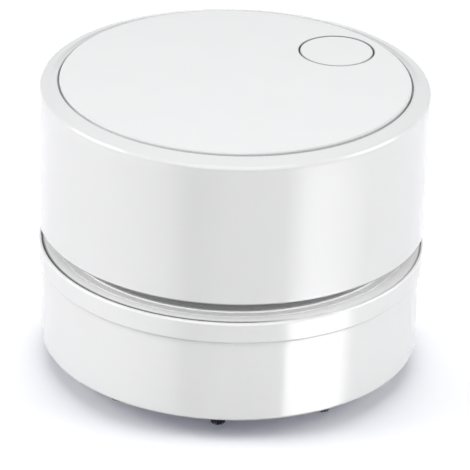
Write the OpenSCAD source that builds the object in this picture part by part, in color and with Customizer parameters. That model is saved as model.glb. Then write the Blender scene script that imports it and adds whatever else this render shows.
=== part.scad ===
// Desktop mini vacuum cleaner: a round motor unit that twists off a dust box
// standing on nine brush tufts. Origin on the desk, on the round axis.
// The front is -Y, and the charging socket is at the rear.

/* [Outer body] */
// Radius of the upper shell and of the collar
body_r = 42; // [41:0.5:45]
// Wall of the upper shell
shell_wall = 2; // [1.6:0.1:2.2]
// Width of the sloping ring around the top panel
top_ring_w = 3.9; // [3.6:0.1:4.4]
// Drop of the sloping ring from the panel to the outer edge
top_ring_drop = 1.3; // [0.8:0.1:1.8]
// Width of the groove around the top panel
groove_w = 0.4; // [0.3:0.05:0.6]
// Thickness of the top panel
panel_t = 2; // [1.6:0.1:2.4]

/* [Power button] */
// Radius of the button cap
button_r = 8.05; // [6:0.05:8.5]
// Distance from the edge of the button to the edge of the top panel
button_edge = 2.25; // [2:0.05:3.6]
// Angle of the button, from the right towards the rear
button_angle = 37.4; // [36:0.2:42]
// Gap around the button cap
button_gap = 0.25; // [0.2:0.05:0.4]
// Travel of the button
button_travel = 1.5; // [0.8:0.1:1.6]

/* [Exhaust gap] */
// Height of the open gap between the shell and the ledge
exhaust_gap = 4.2; // [3.6:0.1:5]
// Depth of the gap, from the outer wall to the neck
exhaust_depth = 6; // [5.9:0.1:6.4]
// Wall of the neck, a grille ring
neck_wall = 1.6; // [1.2:0.1:2]
// Number of exhaust slots round the neck
slot_n = 36; // [24:4:44]
// Width of one exhaust slot
slot_w = 3; // [2:0.1:3.4]
// Width of the fine gap between the ledge and the collar
ledge_seam = 0.25; // [0.1:0.05:0.3]

/* [Collar and twist lock] */
// Height of the collar
collar_h = 4.6; // [4.4:0.1:5.4]
// Wall of the collar
collar_wall = 3; // [2.9:0.1:3.3]
// Thickness of the ledge flange
ledge_t = 1.6; // [1.3:0.1:1.8]
// Twist that frees the dust box, in degrees
twist = 20; // [14:1:26]
// Width of one lock lug, in degrees
lug_span = 16; // [10:1:20]

/* [Dust box] */
// Step from the collar in to the dust box wall
box_inset = 0.75; // [0.5:0.05:1]
// Height of the dust box wall
box_h = 18.8; // [17.8:0.2:24]
// Wall of the dust box
box_wall = 2; // [1.6:0.1:2.4]
// Rise of the floor above the rim
floor_rise = 2.1; // [1.6:0.1:2.6]
// Thickness of the floor
floor_t = 2; // [1.8:0.1:2.6]
// Radius of the suction inlet
inlet_r = 9; // [6:0.5:11]
// Height of the inlet tube above the floor
inlet_h = 5.7; // [4:0.1:5.8]
// Gap between the inlet tube and its dust guard
guard_gap = 2.6; // [2:0.1:2.8]

/* [Brush] */
// Number of brush tufts
tuft_n = 9; // [6:1:12]
// Distance from the dust box wall to the middle of a tuft
tuft_inset = 5.25; // [3.5:0.25:9]
// Reach of the tufts below the rim
brush_reach = 4.2; // [3.4:0.1:5]
// Radius of one tuft at its tips
tuft_r = 1.7; // [1.5:0.05:1.9]
// Distance between the strands where they leave the plug
strand_pitch = 0.42; // [0.36:0.01:0.44]
// Radius of one strand
strand_r = 0.13; // [0.1:0.01:0.15]

/* [Filter] */
// Depth of the filter basket below its flange
basket_h = 3; // [2:0.1:3.1]
// Wall of the filter basket
basket_wall = 1.2; // [1:0.1:1.4]
// Thickness of the filter pad
pad_t = 3.2; // [2:0.1:3.2]
// Height of the sealing ring
seal_h = 1.9; // [1.2:0.1:1.9]

/* [Motor and fan] */
// Radius of the motor's round sides
motor_r = 10.05; // [9.5:0.05:10.4]
// Width of the motor across its flats
motor_flats = 15.1; // [14:0.1:16]
// Height of the motor can
can_h = 20; // [18:0.5:20.5]
// Height of the motor's end cap
end_cap_h = 4.6; // [4:0.1:4.8]
// Free height between the motor and the top panel
motor_headroom = 1.5; // [1:0.1:6]
// Radius of the motor shaft
shaft_r = 1; // [0.8:0.05:1.2]
// Wall of the rubber sleeve around the motor
sleeve_t = 1.2; // [0.8:0.1:1.6]
// Number of fan blades
blade_n = 9; // [7:1:13]
// Backward sweep of a fan blade, in degrees
blade_sweep = 40; // [20:5:50]

/* [Battery and board] */
// Gap between the battery cell and the motor cup, and under the cell
cell_gap = 0.8; // [0.4:0.1:1.2]
// Gap between the battery cell and the front tower
cell_tower_gap = 0.65; // [0.4:0.05:1.6]
// Gap at each end of the cell, for its tab and lead
cell_end_gap = 3.6; // [2.4:0.1:6]
// Thickness of the control board
board_t = 1.6; // [1:0.1:1.8]
// Side of the push switch
switch_w = 8; // [7:0.1:8.4]
// Height of the push switch
switch_h = 5.2; // [5:0.1:5.8]
// Width of the charging socket
port_w = 8.94; // [7:0.02:9.2]
// Height of the charging socket
port_h = 3.26; // [2.6:0.02:3.4]
// Depth of the charging socket
port_l = 7.3; // [6.5:0.1:7.4]

/* [Hidden] */
$fn = 96;

// Clearances
fit = 0.1;          // between pieces that are pushed or glued together
slip = 0.3;         // between pieces that turn past each other
running = 0.03;     // shaft in its bushes, radial
thread_gap = 0.02;  // screw in its pilot hole, radial
eps = 0.01;         // how far a cut runs past a face

// Heights, from the desk up
rim_z = brush_reach;
floor_z = rim_z + floor_rise;
floor_top_z = floor_z + floor_t;
box_top_z = rim_z + box_h;
seam = 0.2;
collar_z = box_top_z + seam;
ledge_z = collar_z + collar_h;
fan_floor_z = ledge_z - ledge_t;
shell_z = ledge_z + exhaust_gap;
chassis_rise = 2.6;
chassis_t = 1.8;
chassis_z = shell_z + chassis_rise;
deck_z = chassis_z + chassis_t;
motor_boss_h = 1.7;
cap_boss_h = 0.5;
can_top_z = deck_z + can_h;
motor_top_z = can_top_z + end_cap_h;
panel_z = motor_top_z + cap_boss_h + motor_headroom;
top_z = panel_z + panel_t;

// Radii of the round body
shell_in_r = body_r - shell_wall;
ring_in_r = body_r - top_ring_w;
panel_r = ring_in_r - groove_w;
lip_w = 0.8;
lip_in_r = panel_r - lip_w;
lip_t = 1.7;
neck_r = body_r - exhaust_depth;
neck_in_r = neck_r - neck_wall;
collar_in_r = body_r - collar_wall;
flange_inset = 0.85;
flange_r = body_r - flange_inset;
box_r = body_r - box_inset;
box_in_r = box_r - box_wall;
spigot_wall = 1.7;
spigot_r = collar_in_r - slip - fit;
spigot_in_r = spigot_r - spigot_wall;
spigot_top_z = fan_floor_z - seam;
step_w = 1.7;
step_drop = 0.7;
step_t = 1.2;
step_slope = 0.6;
stop_w = 1;
step_z = box_top_z - step_drop;

// Twist lock: three lugs on the dust box turn over a ledge in the collar
lug_n = 3;
lug_first = 90;
lug_out = 1.4;
lug_bite = 0.5;
lug_r = spigot_r + lug_out;
lug_top_z = spigot_top_z - fit;
lug_ledge_t = 0.8;
lug_z = collar_z + lug_ledge_t + slip;
lock_r = lug_r + slip;
lock_play = 0.7;    // spare turn past each end of a lug, in degrees

// Screws: head radius, head height, shank radius
screw_head_r = 1.7;
screw_head_h = 1.4;
screw_r = 0.95;
screw_hole_r = screw_r + 0.25;
pilot_r = screw_r + thread_gap;

// Towers join the fan housing to the chassis
tower_n = 4;
tower_r = 3.1;
tower_gap = 0.1;
tower_pos_r = neck_in_r - tower_r - tower_gap;
tower_h = 5.6;
tower_bore_r = screw_head_r + slip;
tower_bore_h = 2.4;
tower_screw_l = 12;
post_r = 2.6;

// Bosses join the upper shell to the chassis
boss_angles = [-90, 30, 150];
boss_r = 2.9;
boss_inset = 2.1;
boss_pos_r = shell_in_r - boss_inset;
boss_h = 11;
shell_screw_l = 9;

// Brush tufts
tuft_first = -2.75;
tuft_ring_r = box_in_r - tuft_inset;
plug_r = 1.6;
plug_h = 1.4;
strand_rings = 3;
strand_sides = 3;
strand_cut = 0.5;
strand_root = 0.3;
strand_top_z = floor_z + strand_root;
bunch_r = strand_rings * strand_pitch;
strand_places = [
    for (i = [-strand_rings:strand_rings])
        for (j = [-strand_rings:strand_rings])
            if (abs(i + j) <= strand_rings) strand_pitch * [i + j / 2, j * sin(60)]
];

// Inlet tube and the guard over it
inlet_wall = 1.6;
inlet_flare = 1.5;
inlet_top_z = floor_top_z + inlet_h;
guard_z = inlet_top_z + guard_gap;
guard_t = 1.2;
guard_over = 0.9;
guard_r = inlet_r + inlet_wall + guard_over;
guard_leg_r = 0.7;
guard_leg_n = 3;

// Filter basket, hung on the step inside the dust box
basket_r = spigot_in_r - step_w - 2 * slip + fit;
frame_r = spigot_in_r - fit;
frame_flange_t = 1.7;
basket_z = step_z - basket_h;
basket_floor_t = 1;
basket_in_r = basket_r - basket_wall;
frame_top_z = step_z + frame_flange_t;
spoke_n = 6;
spoke_w = 1.4;
hub_r = 2.2;
pull_r = 3.5;
pull_t = 1;
pull_rise = 0.2;

// Motor, standing on the chassis with its shaft down into the fan
can_wall = 0.8;
motor_boss_r = 3.05;
cup_wall = 1.6;
cup_h = 9.6;
cup_in_r = motor_r + sleeve_t + fit;
cup_r = cup_in_r + cup_wall;
bush_r = 2.1;
magnet_gap = 0.4;
core_r = 6.1;
magnet_in_r = core_r + magnet_gap;
magnet_r = motor_r - can_wall - fit / 2;
magnet_span = 88;
core_rise = 4.2;
core_z = deck_z + core_rise;
core_h = 11.6;
core_hub_r = 2.2;
pole_n = 3;
pole_w = 2.6;
shoe_t = 1.2;
commutator_r = 2.3;
commutator_drop = 2.4;
commutator_z = can_top_z - commutator_drop;
commutator_h = 4;
brush_t = 0.3;
brush_w = 2;
terminal_w = 2.2;
terminal_t = 0.5;
terminal_x = 6;
terminal_drop = 2.6;
terminal_z = motor_top_z - terminal_drop;
terminal_out = 2.2;
terminal_in = 2.2;

// Fan
impeller_gap = 1.5;
impeller_r = tower_pos_r - tower_r - impeller_gap;
impeller_top_gap = 0.4;
impeller_floor_gap = 1.1;
impeller_top_z = chassis_z - impeller_top_gap;
impeller_z = ledge_z + impeller_floor_gap;
impeller_plate_t = 1;
impeller_hub_r = 4.2;
blade_t = 1;
blade_in_r = 10;
blade_inset = 0.5;
blade_out_r = impeller_r - blade_inset;
eye_r = 11;
eye_rib = 1.2;
eye_rings = [3.4, 7.2];
shaft_in = 0.3;
shaft_out = 0.2;
shaft_z = impeller_z + shaft_in;
shaft_top_z = motor_top_z + shaft_out;

// Button, switch and board, stacked down from the top panel
button_at = (panel_r - button_edge - button_r) * [cos(button_angle), sin(button_angle)];
button_flange_w = 0.95;
button_flange_t = 1;
button_flange_z = panel_z - fit - button_flange_t;
stem_h = 1.7;
stem_r = 2.6;
plunger_top_z = button_flange_z - stem_h;
plunger_out = 3;
plunger_r = 2;
plunger_in_r = 1.3;
plunger_roof = 1.5;
switch_top_z = plunger_top_z - plunger_out;
board_top_z = switch_top_z - switch_h;
board_z = board_top_z - board_t;
switch_floor = 1.1;
switch_floor_z = board_top_z + switch_floor;
plunger_z = switch_floor_z + button_travel + fit;
board_margin = 0.44;
board_edge_y = button_at.y - switch_w / 2 - board_margin;
board_gap = 1.6;
board_r = shell_in_r - board_gap;
board_post_inset = 4.7;
board_post_angle = 49;
board_posts = [
    [0, tower_pos_r],
    for (side = [-1, 1])
        (board_r - board_post_inset) * [side * cos(board_post_angle), sin(board_post_angle)]
];
board_screw_l = 6;

// Return spring inside the switch
coil_wire_r = 0.15;
coil_r = 0.95;
coil_n = 6;
coil_rings = 8;
coil_sides = 6;
coil_z = switch_floor_z + coil_wire_r;
coil_top_z = plunger_top_z - plunger_roof - coil_wire_r;
coil_pitch = (coil_top_z - coil_z) / coil_n;

// Battery cell, across the front of the motor
cell_r = (tower_pos_r - post_r - cell_tower_gap - cup_r - cell_gap) / 2;
cell_y = -(cup_r + cell_gap + cell_r);
cell_l = 2 * (sqrt(pow(shell_in_r, 2) - pow(cell_r - cell_y, 2)) - cell_end_gap);
cell_z = deck_z + cell_gap + cell_r;
saddle_x = 0.3 * cell_l;
saddle_t = 2;
saddle_wall = 1.5;
cell_tip_r = 2.8;
cell_tip_h = 1.2;
tab_t = 0.3;
tab_r = 4;

// Charging socket at the rear
port_inset = 0.8;
port_at_y = body_r - port_inset;
port_wall = 0.35;
port_z = board_top_z + port_h / 2;
port_hole_gap = 0.25;

// Leads: radius, sides, and routes as hand-picked points
lead_r = 0.55;
lead_sides = 8;
motor_pad_inset = 3.8;
battery_pad_inset = 6.4;
battery_pad_angle = 29;
motor_lead_pad_y = board_edge_y + motor_pad_inset;
battery_pad = (board_r - battery_pad_inset) * [cos(battery_pad_angle), sin(battery_pad_angle)];
motor_lead_route = [
    [terminal_x, motor_flats / 2 + terminal_out - 0.6, terminal_z - terminal_t / 2 - lead_r],
    [terminal_x, motor_flats / 2 + terminal_out + 0.6, terminal_z - 1.1],
    [terminal_x, motor_flats / 2 + terminal_out + 2.6, terminal_z - 2.2],
    [terminal_x, motor_lead_pad_y - 1, board_top_z + 3],
    [terminal_x, motor_lead_pad_y, board_top_z + 1.4],
    [terminal_x, motor_lead_pad_y, board_top_z]
];
battery_lead_route = [
    [cell_l / 2 + tab_t + lead_r, cell_y, cell_z],
    [cell_l / 2 + tab_t + lead_r, cell_y + 0.6, cell_z + 2.4],
    [cell_l / 2 + tab_t + 1.4, cell_y + 3, cell_z + 6],
    [battery_pad.x, cell_y + 12, board_top_z + 1.4],
    [battery_pad.x, 4, board_top_z + 2.6],
    [battery_pad.x, battery_pad.y - 2.4, board_top_z + 2.4],
    [battery_pad.x, battery_pad.y, board_top_z + 1.3],
    [battery_pad.x, battery_pad.y, board_top_z]
];

// A corner of a profile, rounded by radius r, as an arc of points
function fillet(a, p, b, r, steps = 6) =
    let (
        u = (a - p) / norm(a - p),
        v = (b - p) / norm(b - p),
        half = acos(u * v) / 2,
        centre = p + (u + v) / norm(u + v) * r / sin(half),
        from = p + u * r / tan(half) - centre,
        to = p + v * r / tan(half) - centre,
        turn = 180 - 2 * half
    )
    [for (i = [0:steps])
        centre + (from * sin(turn * (1 - i / steps)) + to * sin(turn * i / steps)) / sin(turn)];

// A profile whose points are [x, y, corner radius]
function rounded(pts) =
    let (n = len(pts), xy = [for (p = pts) [p[0], p[1]]])
    [for (i = [0:n - 1]) each
        pts[i][2] > 0
            ? fillet(xy[(i + n - 1) % n], xy[i], xy[(i + 1) % n], pts[i][2])
            : [xy[i]]];

function polar(r, a) = r * [cos(a), sin(a)];

module turned(profile) {
    rotate_extrude() polygon(rounded(profile));
}

module ring(r_out, r_in, z, h) {
    translate([0, 0, z]) difference() {
        cylinder(r = r_out, h = h);
        translate([0, 0, -eps]) cylinder(r = r_in, h = h + 2 * eps);
    }
}

// A block of a ring that spans from angle a0 to angle a1
module ring_sector(r_in, r_out, a0, a1, z, h) {
    translate([0, 0, z]) rotate([0, 0, a0])
        rotate_extrude(angle = a1 - a0)
            translate([r_in, 0]) square([r_out - r_in, h]);
}

module round_around(n, first = 0) {
    for (i = [0:n - 1]) rotate([0, 0, first + i * 360 / n]) children();
}

module screw(length, head_r = screw_head_r) {
    translate([0, 0, -screw_head_h]) cylinder(r = head_r, h = screw_head_h);
    translate([0, 0, -eps]) cylinder(r = screw_r, h = length + eps);
}

// Cross recess in a screw's head
module cross_recess() {
    slot = [2, 0.4, 0.6];
    for (a = [0, 90])
        rotate([0, 0, a])
            translate([-slot.x / 2, -slot.y / 2, -screw_head_h - eps])
                cube(slot);
}

// A round tube swept along a route by rings of points
module swept_tube(route, r, sides) {
    n = len(route);
    rings = [for (i = [0:n - 1])
        let (
            ahead = route[min(i + 1, n - 1)] - route[max(i - 1, 0)],
            along = ahead / norm(ahead),
            side_raw = cross(along, abs(along.z) > 0.9 ? [1, 0, 0] : [0, 0, 1]),
            side = side_raw / norm(side_raw),
            up = cross(side, along)
        )
        [for (k = [0:sides - 1])
            route[i] + r * (cos(k * 360 / sides) * side + sin(k * 360 / sides) * up)]];
    polyhedron(
        points = [for (loop = rings) each loop],
        faces = concat(
            [[for (k = [0:sides - 1]) sides - 1 - k]],
            [for (i = [0:n - 2]) for (k = [0:sides - 1]) each
                let (a = i * sides + k, b = i * sides + (k + 1) % sides)
                [[a, b, b + sides], [a, b + sides, a + sides]]],
            [[for (k = [0:sides - 1]) (n - 1) * sides + k]]
        ),
        convexity = 6
    );
}

// ---- Dust box, standing on its brush ----

module dust_box() {
    color("white") {
        turned([
            [box_in_r, rim_z, 0.4],
            [box_r, rim_z, 0.7],
            [box_r, box_top_z, 0.4],
            [spigot_r, box_top_z, 0],
            [spigot_r, spigot_top_z, 0.3],
            [spigot_in_r, spigot_top_z, 0.3],
            [spigot_in_r, step_z, 0],
            [spigot_in_r - step_w, step_z, 0],
            [spigot_in_r - step_w, step_z - step_t, 0],
            [box_in_r, step_z - step_t - (box_in_r - spigot_in_r + step_w) * step_slope, 0],
            [box_in_r, floor_top_z + 2 * stop_w, 0],
            [box_in_r - stop_w, floor_top_z + stop_w, 0],
            [box_in_r - stop_w, floor_top_z, 0],
            [box_in_r, floor_top_z, 0]
        ]);
        round_around(lug_n, lug_first)
            ring_sector(spigot_r - lug_bite, lug_r, -lug_span / 2, lug_span / 2,
                        lug_z, lug_top_z - lug_z);
    }
}

module base_plate() {
    color("whitesmoke") difference() {
        union() {
            translate([0, 0, floor_z]) cylinder(r = box_in_r - fit, h = floor_t);
            translate([0, 0, floor_z]) cylinder(r = inlet_r + inlet_wall, h = inlet_top_z - floor_z);
        }
        translate([0, 0, floor_z - eps]) cylinder(r = inlet_r, h = inlet_top_z - floor_z + 2 * eps);
        translate([0, 0, floor_z - eps])
            cylinder(r1 = inlet_r + inlet_flare, r2 = inlet_r, h = inlet_flare);
        round_around(tuft_n, tuft_first)
            translate([0, -tuft_ring_r, floor_z - eps]) cylinder(r = plug_r + fit / 2, h = plug_h + fit);
    }
}

module dust_guard() {
    color("whitesmoke") {
        turned([
            [0, guard_z, 0],
            [guard_r, guard_z, 0],
            [guard_r, guard_z + guard_t, 0.5],
            [0, guard_z + guard_t, 0]
        ]);
        round_around(guard_leg_n)
            translate([inlet_r + inlet_wall / 2, 0, inlet_top_z])
                cylinder(r = guard_leg_r, h = guard_gap + eps);
    }
}

// One bristle, leaning out from the middle of its tuft
module strand(place) {
    out = norm(place);
    spread = out * ((tuft_r - strand_r) / bunch_r - 1);
    lean = atan(spread / strand_top_z);
    rotate([0, 0, out > 0 ? atan2(place.y, place.x) : 0])
        translate([out, 0, strand_top_z])
            rotate([0, 180 - lean, 0])
                cylinder(r = strand_r, h = (strand_top_z + strand_cut) / cos(lean), $fn = strand_sides);
}

// One tuft: its bristles, fused to the plug that holds them in the floor
module brush_tuft(i) {
    cut_w = 4 * tuft_r;
    color("black")
        rotate([0, 0, tuft_first + i * 360 / tuft_n])
            translate([0, -tuft_ring_r, 0])
                difference() {
                    union() {
                        translate([0, 0, floor_z]) cylinder(r = plug_r, h = plug_h);
                        for (place = strand_places) strand(place);
                    }
                    translate([-cut_w / 2, -cut_w / 2, -2 * strand_cut])
                        cube([cut_w, cut_w, 2 * strand_cut]);
                }
}

module brush_tuft_1() { brush_tuft(0); }
module brush_tuft_2() { brush_tuft(1); }
module brush_tuft_3() { brush_tuft(2); }
module brush_tuft_4() { brush_tuft(3); }
module brush_tuft_5() { brush_tuft(4); }
module brush_tuft_6() { brush_tuft(5); }
module brush_tuft_7() { brush_tuft(6); }
module brush_tuft_8() { brush_tuft(7); }
module brush_tuft_9() { brush_tuft(8); }

module filter_frame() {
    color("lightgray") {
        ring(frame_r, basket_in_r, step_z, frame_flange_t);
        ring(basket_r, basket_in_r, basket_z, basket_h + eps);
        round_around(spoke_n)
            translate([hub_r / 2, -spoke_w / 2, basket_z])
                cube([(basket_r + basket_in_r) / 2 - hub_r / 2, spoke_w, basket_floor_t]);
        translate([0, 0, basket_z]) cylinder(r = hub_r, h = frame_top_z + pull_rise - basket_z);
        translate([0, 0, frame_top_z]) cylinder(r = pull_r, h = pull_t);
    }
}

module filter_pad() {
    color("gainsboro")
        ring(basket_in_r - slip, hub_r + fit, basket_z + basket_floor_t + fit / 2, pad_t);
}

module filter_seal() {
    color("darkgray") turned([
        [basket_in_r + fit, frame_top_z, 0],
        [frame_r - fit, frame_top_z, 0],
        [frame_r - fit, frame_top_z + seal_h, 0.8],
        [basket_in_r + fit, frame_top_z + seal_h, 0.8]
    ]);
}

// ---- Motor unit ----

module collar() {
    rebate_r = flange_r + ledge_seam;
    color("white") difference() {
        turned([
            [collar_in_r, collar_z, 0],
            [body_r, collar_z, 0.3],
            [body_r, ledge_z, 0.5],
            [rebate_r, ledge_z, 0],
            [rebate_r, fan_floor_z, 0],
            [collar_in_r, fan_floor_z, 0]
        ]);
        round_around(lug_n, lug_first) {
            ring_sector(collar_in_r - 1, lock_r, -twist - lug_span / 2 - lock_play,
                        lug_span / 2 + lock_play, collar_z + lug_ledge_t,
                        fan_floor_z - collar_z - lug_ledge_t + eps);
            ring_sector(collar_in_r - 1, lock_r, -twist - lug_span / 2 - lock_play,
                        -twist + lug_span / 2 + lock_play, collar_z - eps, lug_ledge_t + 2 * eps);
        }
    }
}

module fan_housing() {
    line_r = neck_r + 2.6;
    line_w = 0.3;
    line_depth = 0.25;
    foot_r = neck_r + 0.9;
    foot_h = 0.3;
    eye_rib_h = ledge_t - 0.4;
    color("white") difference() {
        union() {
            turned([
                [eye_r, fan_floor_z, 0],
                [flange_r, fan_floor_z, 0],
                [flange_r, ledge_z, 0.15],
                [line_r + line_w, ledge_z, 0],
                [line_r + line_w, ledge_z - line_depth, 0],
                [line_r, ledge_z - line_depth, 0],
                [line_r, ledge_z, 0],
                [foot_r, ledge_z, 0],
                [foot_r, ledge_z + foot_h, 0],
                [neck_r + fit, ledge_z + foot_h, 0],
                [neck_r + fit, ledge_z, 0],
                [eye_r, ledge_z, 0]
            ]);
            round_around(tower_n)
                translate([tower_pos_r, 0, fan_floor_z + eps])
                    cylinder(r = tower_r, h = chassis_z - fan_floor_z - eps);
            for (r = eye_rings) ring(r + eye_rib, r, fan_floor_z, eye_rib_h);
            round_around(spoke_n)
                translate([eye_rings[0] + eye_rib / 2, -eye_rib / 2, fan_floor_z])
                    cube([eye_r - eye_rings[0], eye_rib, eye_rib_h]);
        }
        round_around(tower_n) translate([tower_pos_r, 0, 0]) {
            translate([0, 0, fan_floor_z - 1]) cylinder(r = tower_bore_r, h = 1 + tower_bore_h);
            translate([0, 0, fan_floor_z]) cylinder(r = screw_hole_r, h = chassis_z);
        }
    }
}

// The grey neck in the gap: a ring that stands on the ledge and lets the air out
module exhaust_grille() {
    slot_rise = 1.3;
    slot_drop = 1;
    slot_z = ledge_z + slot_rise;
    slot_h = chassis_z - slot_drop - slot_z;
    color("dimgray") difference() {
        ring(neck_r, neck_in_r, ledge_z, chassis_z - ledge_z);
        round_around(slot_n, 180 / slot_n)
            translate([neck_in_r - 1, -slot_w / 2, slot_z]) cube([neck_wall + 2, slot_w, slot_h]);
    }
}

module housing_screws() {
    color("silver") round_around(tower_n)
        translate([tower_pos_r, 0, fan_floor_z + tower_bore_h])
            difference() {
                screw(tower_screw_l);
                cross_recess();
            }
}

// A battery saddle: a rib with a round seat for the cell
module saddle(x) {
    translate([x - saddle_t / 2, 0, 0])
        difference() {
            translate([0, cell_y - cell_r - saddle_wall, deck_z - eps])
                cube([saddle_t, 2 * cell_r + saddle_wall + cell_gap / 2, cell_z - deck_z + saddle_wall]);
            translate([-1, cell_y, cell_z]) rotate([0, 90, 0])
                cylinder(r = cell_r + fit, h = saddle_t + 2);
        }
}

module post(at, h) {
    translate([at.x, at.y, deck_z - eps]) cylinder(r = post_r, h = h + eps);
}

module chassis() {
    pilot_l = tower_h - 0.6;
    color("whitesmoke") difference() {
        union() {
            translate([0, 0, chassis_z]) cylinder(r = shell_in_r - slip, h = chassis_t);
            ring(cup_r, cup_in_r, deck_z - eps, cup_h);
            round_around(tower_n)
                translate([tower_pos_r, 0, deck_z - eps]) cylinder(r = post_r, h = tower_h);
            for (at = board_posts) post(at, board_z - deck_z);
            for (side = [-1, 1]) saddle(side * saddle_x);
        }
        translate([0, 0, chassis_z - 1]) cylinder(r = motor_boss_r + fit, h = chassis_t + 2);
        round_around(tower_n)
            translate([tower_pos_r, 0, chassis_z - 1]) cylinder(r = pilot_r, h = 1 + chassis_t + pilot_l);
        for (a = boss_angles)
            rotate([0, 0, a]) translate([boss_pos_r, 0, chassis_z - 1])
                cylinder(r = screw_hole_r, h = chassis_t + 2);
        for (at = board_posts)
            translate([at.x, at.y, board_z - board_screw_l])
                cylinder(r = pilot_r, h = board_screw_l + 1);
    }
}

module shell_screws() {
    color("silver") for (a = boss_angles)
        rotate([0, 0, a]) translate([boss_pos_r, 0, chassis_z])
            difference() {
                screw(shell_screw_l);
                cross_recess();
            }
}

module upper_shell() {
    color("white") difference() {
        union() {
            turned([
                [shell_in_r, shell_z, 0.3],
                [body_r, shell_z, 0.5],
                [body_r, top_z - top_ring_drop, 0.9],
                [ring_in_r, top_z - 0.3, 0.25],
                [ring_in_r, panel_z, 0],
                [lip_in_r, panel_z, 0],
                [lip_in_r, panel_z - lip_t, 0],
                [shell_in_r, panel_z - lip_t - (shell_in_r - lip_in_r) * 0.7, 0]
            ]);
            for (a = boss_angles)
                rotate([0, 0, a]) translate([boss_pos_r, 0, deck_z])
                    intersection() {
                        cylinder(r = boss_r, h = boss_h);
                        translate([-boss_pos_r, 0, 0]) cylinder(r = shell_in_r + 0.5, h = boss_h);
                    }
        }
        for (a = boss_angles)
            rotate([0, 0, a]) translate([boss_pos_r, 0, deck_z - eps])
                cylinder(r = pilot_r, h = shell_screw_l);
        port_hole();
    }
}

// Rounded slot in the rear wall for the charging socket
module port_hole() {
    r = port_h / 2 + port_hole_gap;
    half = port_w / 2 - port_h / 2;
    translate([0, shell_in_r - 2, port_z]) rotate([-90, 0, 0]) {
        for (side = [-1, 1]) translate([side * half, 0, 0]) cylinder(r = r, h = shell_wall + 4);
        translate([-half, -r, 0]) cube([2 * half, 2 * r, shell_wall + 4]);
    }
}

module top_panel() {
    clip_angles = [100, 220, 340];
    clip_span = 12;
    clip_r = lip_in_r - slip;
    clip_t = 1.2;
    hook_out = 0.6;
    hook_t = 1;
    hook_z = panel_z - lip_t - slip - hook_t;
    color("white") {
        difference() {
            turned([
                [0, panel_z, 0],
                [panel_r, panel_z, 0],
                [panel_r, top_z, 0.35],
                [0, top_z, 0]
            ]);
            translate([button_at.x, button_at.y, panel_z - 1])
                cylinder(r = button_r + button_gap, h = panel_t + 2);
        }
        for (a = clip_angles) {
            ring_sector(clip_r - clip_t, clip_r, a - clip_span / 2, a + clip_span / 2,
                        hook_z, panel_z - hook_z + eps);
            ring_sector(clip_r - eps, clip_r + hook_out, a - clip_span / 2, a + clip_span / 2,
                        hook_z, hook_t);
        }
    }
}

// ---- Motor ----

// The motor's round outline with two flats, inset by t
module motor_outline(t = 0) {
    intersection() {
        circle(r = motor_r - t);
        square([4 * motor_r, motor_flats - 2 * t], center = true);
    }
}

module motor_can() {
    color("silver") difference() {
        union() {
            translate([0, 0, deck_z]) linear_extrude(can_h) motor_outline();
            translate([0, 0, deck_z - motor_boss_h]) cylinder(r = motor_boss_r, h = motor_boss_h + eps);
        }
        translate([0, 0, deck_z + can_wall]) linear_extrude(can_h) motor_outline(can_wall);
        translate([0, 0, deck_z - motor_boss_h - 1])
            cylinder(r = bush_r + fit / 2, h = motor_boss_h + can_wall + 2);
    }
}

module motor_end_cap() {
    wall = 1.2;
    color("ivory") difference() {
        union() {
            translate([0, 0, can_top_z]) linear_extrude(end_cap_h) motor_outline();
            translate([0, 0, motor_top_z - eps]) cylinder(r = motor_boss_r, h = cap_boss_h + eps);
        }
        translate([0, 0, can_top_z - eps])
            linear_extrude(end_cap_h - wall) motor_outline(wall);
        translate([0, 0, can_top_z]) cylinder(r = bush_r + fit / 2, h = end_cap_h + 2);
        for (side = [-1, 1])
            translate([side * terminal_x, motor_flats / 2, terminal_z])
                cube([terminal_w + fit, 4 * wall, terminal_t + fit], center = true);
    }
}

module motor_magnets() {
    rise = 1;
    top_gap = 2.2;
    color("dimgray") for (a = [0, 180])
        ring_sector(magnet_in_r, magnet_r, a - magnet_span / 2, a + magnet_span / 2,
                    deck_z + can_wall + rise, can_h - can_wall - rise - top_gap);
}

module motor_bushes() {
    sunk = 0.2;
    cap_bush_drop = 1.2;
    cap_bush_h = 1.5;
    color("peru") {
        ring(bush_r, shaft_r + running, deck_z - motor_boss_h + sunk, motor_boss_h);
        ring(bush_r, shaft_r + running, motor_top_z - cap_bush_drop, cap_bush_h);
    }
}

// Two sprung brush arms that touch the commutator
module motor_brushes() {
    wear_gap = 0.05;
    rise = 2;
    end_gap = 1.3;
    color("goldenrod") for (side = [-1, 1])
        translate([side * (commutator_r + wear_gap + brush_t / 2) - brush_t / 2,
                   end_gap - motor_flats / 2, commutator_z + rise])
            cube([brush_t, motor_flats - 2 * end_gap, brush_w]);
}

module motor_terminals() {
    color("goldenrod") for (side = [-1, 1])
        translate([side * terminal_x - terminal_w / 2, motor_flats / 2 - terminal_in,
                   terminal_z - terminal_t / 2])
            cube([terminal_w, terminal_in + terminal_out, terminal_t]);
}

module motor_sleeve() {
    rise = 0.6;
    color([0.15, 0.15, 0.15]) translate([0, 0, deck_z + rise]) linear_extrude(cup_h - rise)
        difference() {
            circle(r = cup_in_r - fit / 2);
            motor_outline(-fit / 2);
        }
}

module motor_leads() {
    color("firebrick") for (side = [-1, 1])
        swept_tube([for (p = motor_lead_route) [side * p.x, p.y, p.z]], lead_r, lead_sides);
}

module motor_shaft() {
    color("silver") translate([0, 0, shaft_z]) cylinder(r = shaft_r, h = shaft_top_z - shaft_z);
}

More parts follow.
